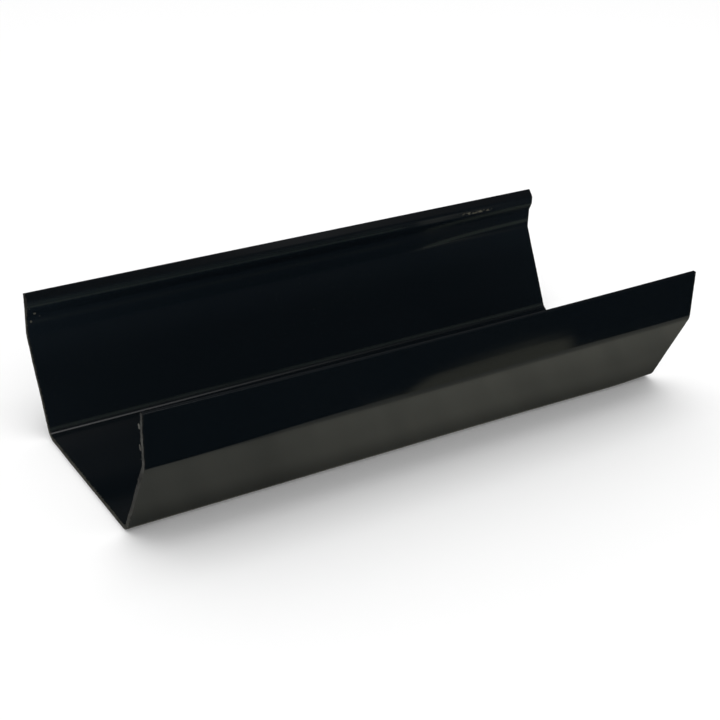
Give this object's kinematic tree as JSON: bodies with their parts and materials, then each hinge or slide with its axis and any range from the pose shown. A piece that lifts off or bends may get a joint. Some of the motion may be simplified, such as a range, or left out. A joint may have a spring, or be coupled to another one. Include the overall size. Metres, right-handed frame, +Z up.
{
  "type": "gutter section",
  "caption": "Short sawn length of open extruded rain gutter with a flat base, sloping sides, an upright plain lip and a beaded rim, which carries roof water.",
  "frame": {"origin": "middle of the underside, on the plane that the gutter lies on", "axes": "+X along the gutter, +Y towards the beaded side, +Z up out of the open trough"},
  "size_m": [0.25, 0.114, 0.0588],
  "materials": {
    "gutter_plastic": "black rigid plastic, gloss as extruded, with dull pale saw cuts at both ends"
  },
  "bodies": {
    "root": {"gutter_section": "gutter_plastic"}
  },
  "joints": []
}
